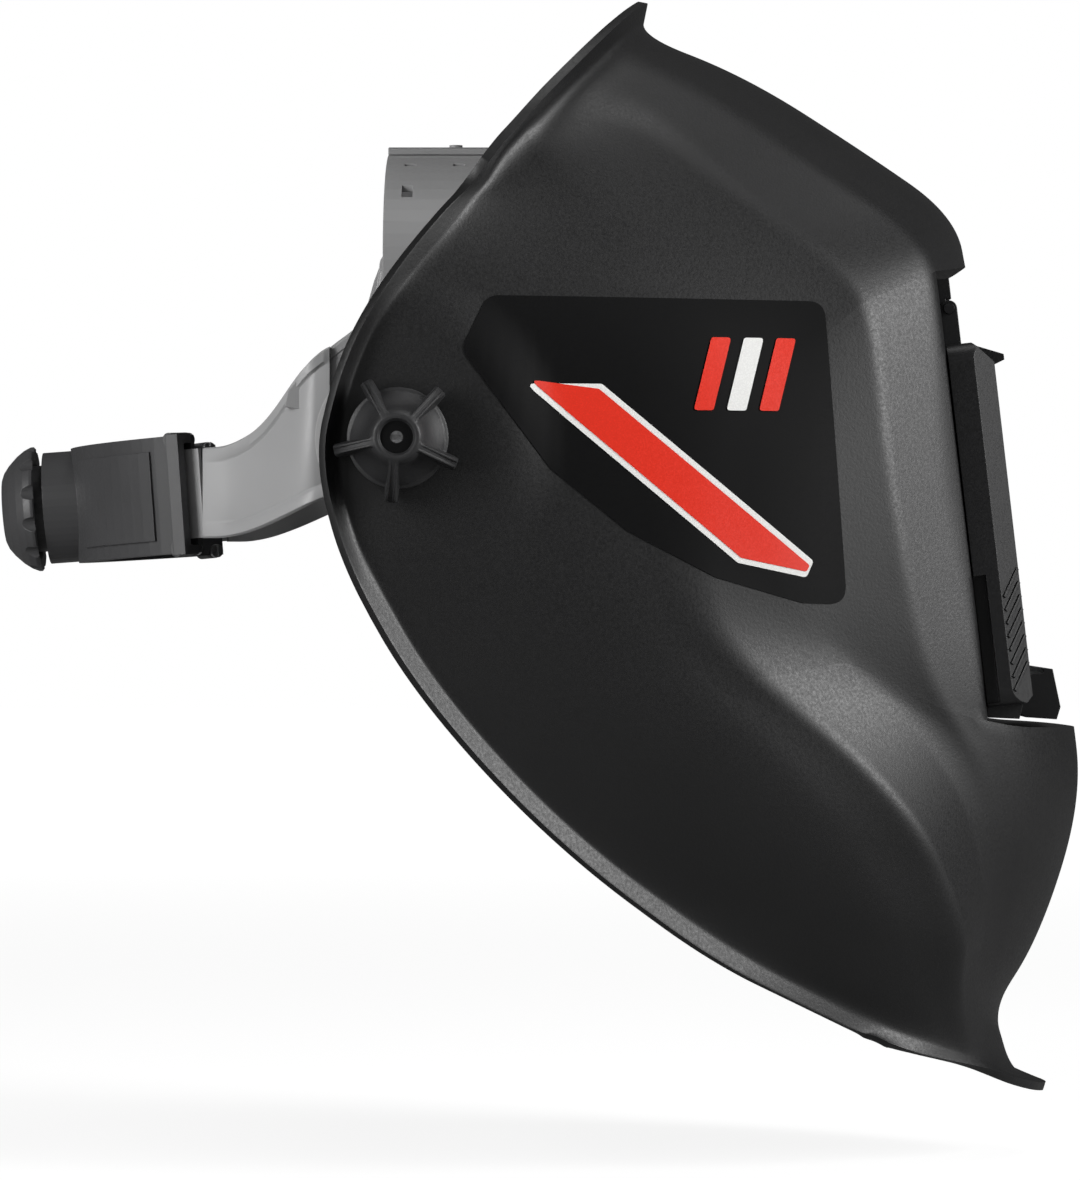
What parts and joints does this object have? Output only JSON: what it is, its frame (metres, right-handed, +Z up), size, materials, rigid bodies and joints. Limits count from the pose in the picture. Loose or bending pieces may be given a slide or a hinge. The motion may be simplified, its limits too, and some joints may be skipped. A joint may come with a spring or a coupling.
{
  "type": "welding helmet",
  "caption": "Head-worn welding helmet: moulded shell tipping on side pivots, flip-up filter frame over a clear window, ratchet headband with crown strap.",
  "frame": {"origin": "midway between the two side pivots on which the shell tips up, inside the headband", "axes": "+X the way the wearer faces, +Y the wearer's left along the pivot axis, +Z up"},
  "size_m": [0.3135, 0.2556, 0.3151],
  "materials": {
    "shell_black": "matt moulded nylon with a fine grain and a satin sheen",
    "frame_black": "satin moulded plastic",
    "inner_black": "satin moulded plastic",
    "headgear_grey": "semi-gloss moulded polypropylene",
    "disc_grey": "smooth light grey acetal",
    "knob_black": "satin to gloss moulded plastic",
    "pad": "soft foam pad with a knitted face",
    "gasket": "foam rubber",
    "steel": "zinc plated steel",
    "clear": "clear polycarbonate",
    "dark_glass": "dark green shade glass"
  },
  "bodies": {
    "headgear": {"headband": "headgear_grey", "crown_strap_right": "headgear_grey", "crown_strap_left": "headgear_grey", "crown_rivets": "steel", "brow_pad": "pad", "strap_right": "headgear_grey", "strap_left": "headgear_grey", "pivot_arm_right": "inner_black", "pivot_arm_left": "inner_black", "pivot_disc_right": "disc_grey", "pivot_disc_left": "disc_grey", "pivot_bolt_right": "steel", "pivot_bolt_left": "steel", "outer_washer_right": "steel", "outer_washer_left": "steel"},
    "shell": {"shell": "shell_black", "window_frame": "inner_black", "clear_plate": "clear", "plate_gasket": "gasket", "window_retainer": "inner_black", "retainer_screws": "steel", "plate_spring": "steel", "hinge_bracket": "frame_black", "bracket_screws": "steel", "hinge_pin": "steel", "hinge_spring": "steel", "pivot_bush_right": "disc_grey", "pivot_bush_left": "disc_grey"},
    "flip_frame": {"flip_frame": "frame_black", "dark_filter": "dark_glass", "filter_gasket": "gasket", "filter_spring": "steel", "cover_plate": "clear", "cover_clips": "frame_black"},
    "knob_right": {"tension_knob_right": "knob_black"},
    "knob_left": {"tension_knob_left": "knob_black"},
    "ratchet": {"ratchet_housing": "knob_black", "ratchet_cover": "inner_black", "cover_screws": "steel", "rear_pad": "pad"},
    "size_knob": {"size_knob": "knob_black", "pinion_shaft": "steel", "pawl_spring": "steel", "knob_screw": "steel"},
    "rack_right": {"toothed_end_right": "headgear_grey"},
    "rack_left": {"toothed_end_left": "headgear_grey"}
  },
  "joints": [
    {"name": "shell_tilt", "type": "hinge", "parent": "headgear", "child": "shell", "pos_m": [0, 0, 0], "axis": [0, -1, 0], "range_deg": [0, 65]},
    {"name": "frame_flip", "type": "hinge", "parent": "shell", "child": "flip_frame", "pos_m": [0.15275, 0, 0.03789], "axis": [0, -1, 0], "range_deg": [0, 90]},
    {"name": "tension_right", "type": "hinge", "parent": "headgear", "child": "knob_right", "pos_m": [0, -0.12, 0], "axis": [0, -1, 0], "range_deg": [-90, 180]},
    {"name": "tension_left", "type": "hinge", "parent": "headgear", "child": "knob_left", "pos_m": [0, 0.12, 0], "axis": [0, 1, 0], "range_deg": [-90, 180]},
    {"name": "head_size", "type": "slide", "parent": "headgear", "child": "ratchet", "axis": [-0.9973, 0, -0.0732], "range_m": [-0.008, 0.016], "deforming": ["strap_right", "strap_left"]},
    {"name": "size_turn", "type": "hinge", "parent": "ratchet", "child": "size_knob", "pos_m": [-0.0304, 0, -0.0118], "axis": [0.9973, 0, 0.0732], "range_deg": [-84.5, 167]},
    {"name": "strap_feed_right", "type": "hinge", "parent": "ratchet", "child": "rack_right", "pos_m": [-0.0304, 0, -0.0118], "axis": [-0.0732, 0, 0.9973], "range_deg": [-7.25, 14]},
    {"name": "strap_feed_left", "type": "hinge", "parent": "ratchet", "child": "rack_left", "pos_m": [-0.0304, 0, -0.0118], "axis": [-0.0732, 0, 0.9973], "range_deg": [-13.62, 7.06]}
  ],
  "couplings": [
    {"joint": "size_turn", "follows": "head_size", "rad_per_m": 180},
    {"joint": "strap_feed_right", "follows": "head_size", "rad_per_m": 14.73},
    {"joint": "strap_feed_left", "follows": "head_size", "rad_per_m": -14.308}
  ]
}
